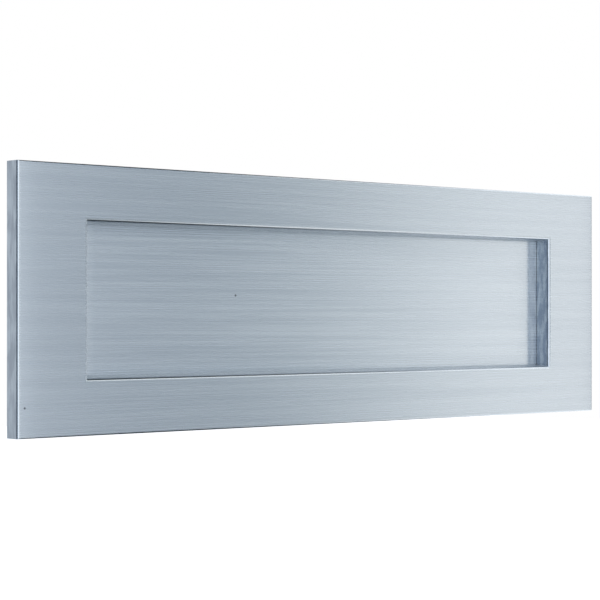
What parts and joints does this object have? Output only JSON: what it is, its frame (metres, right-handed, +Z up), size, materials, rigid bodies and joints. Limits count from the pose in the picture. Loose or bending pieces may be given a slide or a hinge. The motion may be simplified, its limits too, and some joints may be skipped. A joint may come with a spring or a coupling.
{
  "type": "letter plate",
  "caption": "Rectangular letter plate with a long slot, closed by a sprung flap that swings inwards on a top hinge; short studs behind it clamp it to a door or gate.",
  "frame": {"origin": "midway between the fixing studs, on the plane that seats against the door", "axes": "+X to the right as seen from outside the door, +Y into the door, +Z up"},
  "size_m": [0.254, 0.0244, 0.079],
  "materials": {
    "plate_satin_chrome": "satin",
    "flap_satin_chrome": "satin",
    "rod_steel": "satin",
    "bracket_brass": "satin",
    "screw_steel": "satin",
    "spring_steel": "satin",
    "clip_steel": "satin",
    "buffer_rubber": "matte",
    "stud_zinc": "satin",
    "washer_zinc": "satin",
    "nut_zinc": "satin"
  },
  "bodies": {
    "plate": {"front_plate": "plate_satin_chrome", "hinge_rod": "rod_steel", "hinge_bracket_left": "bracket_brass", "hinge_bracket_right": "bracket_brass", "bracket_screw_left_inner": "screw_steel", "bracket_screw_left_outer": "screw_steel", "bracket_screw_right_inner": "screw_steel", "bracket_screw_right_outer": "screw_steel", "spring_left": "spring_steel", "spring_right": "spring_steel", "rod_clip_left": "clip_steel", "rod_clip_right": "clip_steel", "flap_buffer_left": "buffer_rubber", "flap_buffer_right": "buffer_rubber", "fixing_stud_left": "stud_zinc", "fixing_stud_right": "stud_zinc", "fixing_washer_left": "washer_zinc", "fixing_washer_right": "washer_zinc", "fixing_nut_left": "nut_zinc", "fixing_nut_right": "nut_zinc"},
    "flap": {"flap": "flap_satin_chrome"}
  },
  "joints": [
    {"name": "flap_hinge", "type": "hinge", "parent": "plate", "child": "flap", "pos_m": [0, 0.0042, 0.028], "axis": [1, 0, 0], "range_deg": [0, 90], "stiffness_Nm_per_rad": 0.14, "springref_deg": -45.84, "deforming": ["spring_left", "spring_right"]}
  ]
}
